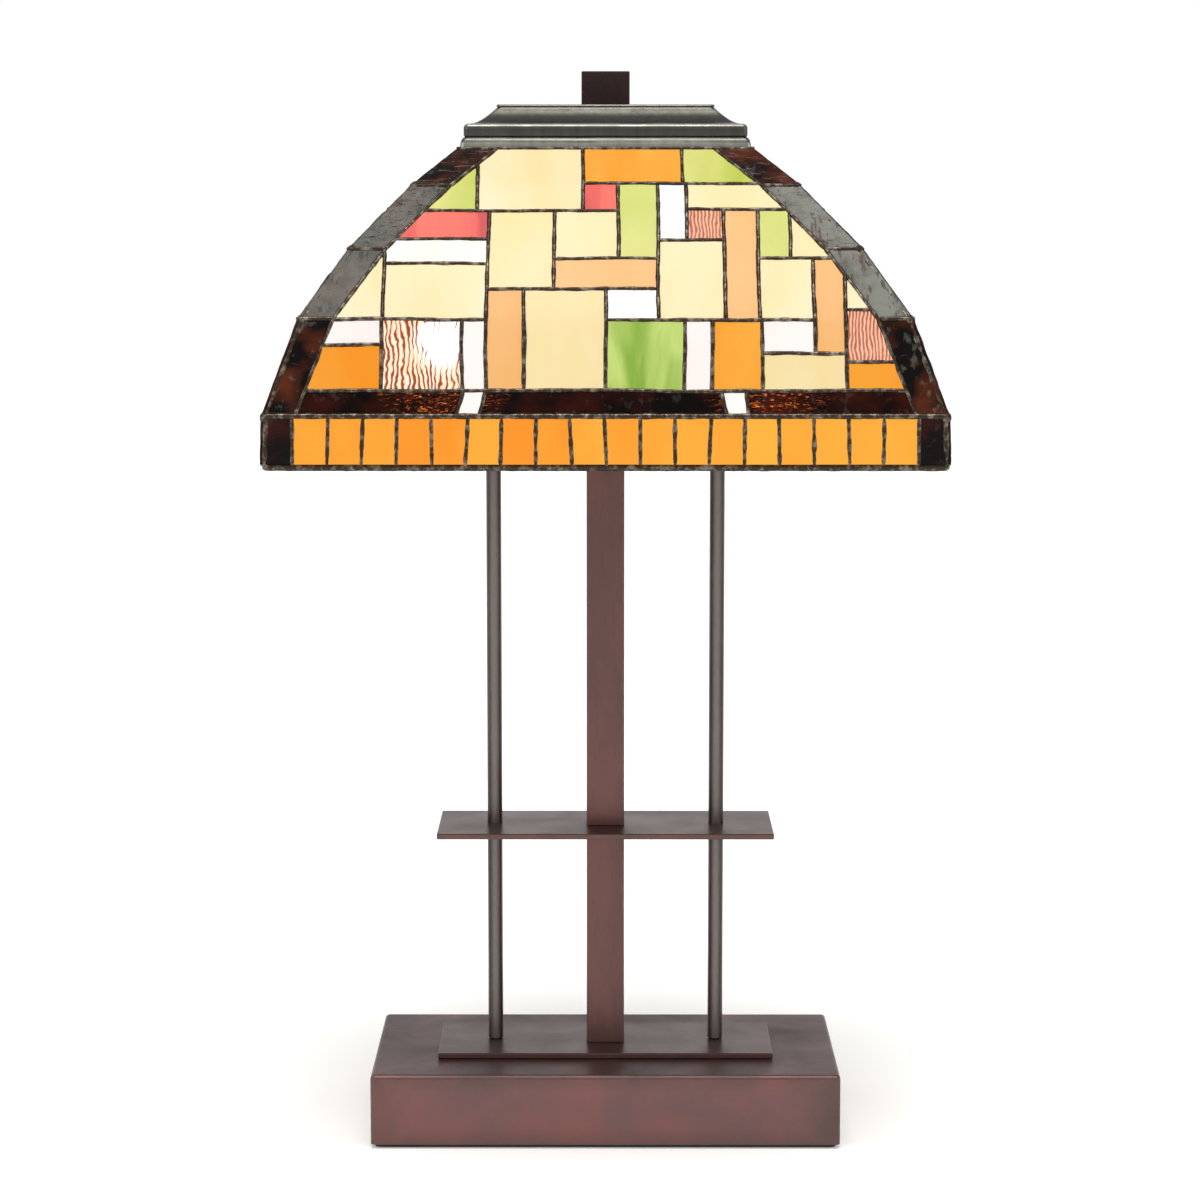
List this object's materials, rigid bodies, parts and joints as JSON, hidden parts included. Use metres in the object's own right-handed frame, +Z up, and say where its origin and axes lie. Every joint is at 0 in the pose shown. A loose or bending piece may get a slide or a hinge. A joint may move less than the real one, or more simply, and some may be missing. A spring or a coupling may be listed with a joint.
{
  "type": "table lamp",
  "caption": "Table lamp with a square leaded art-glass shade, square column, side rods, shelf plate and a weighted rectangular base.",
  "frame": {"origin": "on the table, under the middle of the lamp", "axes": "+Z up the column, -Y towards the front, +X to the front's right"},
  "size_m": [0.3324, 0.3324, 0.5588],
  "materials": {
    "base_bronze": "dark bronze patina, satin",
    "plate_bronze": "dark bronze patina, satin",
    "column_bronze": "dark bronze patina, satin",
    "rod_bronze": "dark bronze patina, satin",
    "cap_pewter": "dark antique pewter, satin",
    "finial_bronze": "near-black bronze, satin",
    "zinc": "zinc-plated",
    "brass": "satin brass",
    "cast_iron": "as cast",
    "felt": "pressed felt",
    "phenolic": "moulded phenolic",
    "knob_black": "moulded plastic",
    "lead_wire": "insulated wire",
    "bulb_white": "frosted white",
    "bulb_metal": "bright threaded",
    "mosaic_glass": "opalescent, polished",
    "tile_glass": "opalescent, polished",
    "corner_glass": "dark rippled cathedral glass",
    "lead_came": "black-patinated solder"
  },
  "bodies": {
    "lamp": {"base_ballast": "cast_iron", "base_casing": "base_bronze", "bottom_cover": "zinc", "centre_pipe": "zinc", "cluster_body": "brass", "column_top_nut": "zinc", "cord_gland": "knob_black", "cover_screw_1": "zinc", "cover_screw_2": "zinc", "cover_screw_3": "zinc", "cover_screw_4": "zinc", "felt_pad": "felt", "lead_left": "lead_wire", "lead_right": "lead_wire", "lower_column": "column_bronze", "mid_plate": "plate_bronze", "nipple_left": "zinc", "nipple_right": "zinc", "pipe_lock_nut": "zinc", "pipe_washer": "zinc", "plinth_plate": "plate_bronze", "riser_rod": "brass", "rod_cap_nut_left": "zinc", "rod_cap_nut_right": "zinc", "rod_left": "rod_bronze", "rod_lock_nut_left": "zinc", "rod_lock_nut_right": "zinc", "rod_right": "rod_bronze", "seat_nut": "brass", "socket_cap_left": "brass", "socket_cap_right": "brass", "socket_insert_left": "phenolic", "socket_insert_right": "phenolic", "socket_shell_left": "brass", "socket_shell_right": "brass", "top_plate": "plate_bronze", "upper_column": "column_bronze"},
    "shade_seat": {"seat_washer": "brass"},
    "shade": {"corner_strip_back_left": "corner_glass", "corner_strip_back_right": "corner_glass", "corner_strip_front_left": "corner_glass", "corner_strip_front_right": "corner_glass", "mosaic_panel_back": "mosaic_glass", "mosaic_panel_front": "mosaic_glass", "mosaic_panel_left": "mosaic_glass", "mosaic_panel_right": "mosaic_glass", "rim_channel": "lead_came", "shade_cap": "cap_pewter", "shade_spider": "zinc", "tile_band_back": "tile_glass", "tile_band_front": "tile_glass", "tile_band_left": "tile_glass", "tile_band_right": "tile_glass"},
    "finial": {"finial": "finial_bronze"},
    "knob_left": {"turn_knob_left": "knob_black"},
    "knob_right": {"turn_knob_right": "knob_black"},
    "bulb_left": {"bulb_base_left": "bulb_metal", "bulb_glass_left": "bulb_white"},
    "bulb_right": {"bulb_base_right": "bulb_metal", "bulb_glass_right": "bulb_white"}
  },
  "joints": [
    {"name": "shade_lift", "type": "slide", "parent": "lamp", "child": "shade_seat", "axis": [0, 0, 1], "range_m": [0, 0.22]},
    {"name": "shade_turn", "type": "hinge", "parent": "shade_seat", "child": "shade", "pos_m": [0, 0, 0.5161], "axis": [0, 0, 1], "continuous": true},
    {"name": "finial_turn", "type": "hinge", "parent": "shade", "child": "finial", "pos_m": [0, 0, 0.5414], "axis": [0, 0, 1], "continuous": true},
    {"name": "knob_left_turn", "type": "hinge", "parent": "lamp", "child": "knob_left", "pos_m": [-0.0355, -0.019, 0.414], "axis": [0, -1, 0], "continuous": true},
    {"name": "knob_right_turn", "type": "hinge", "parent": "lamp", "child": "knob_right", "pos_m": [0.0355, -0.019, 0.414], "axis": [0, -1, 0], "continuous": true},
    {"name": "bulb_left_turn", "type": "hinge", "parent": "lamp", "child": "bulb_left", "pos_m": [-0.0408, 0, 0.414], "axis": [-1, 0, 0], "continuous": true},
    {"name": "bulb_right_turn", "type": "hinge", "parent": "lamp", "child": "bulb_right", "pos_m": [0.0408, 0, 0.414], "axis": [1, 0, 0], "continuous": true}
  ]
}
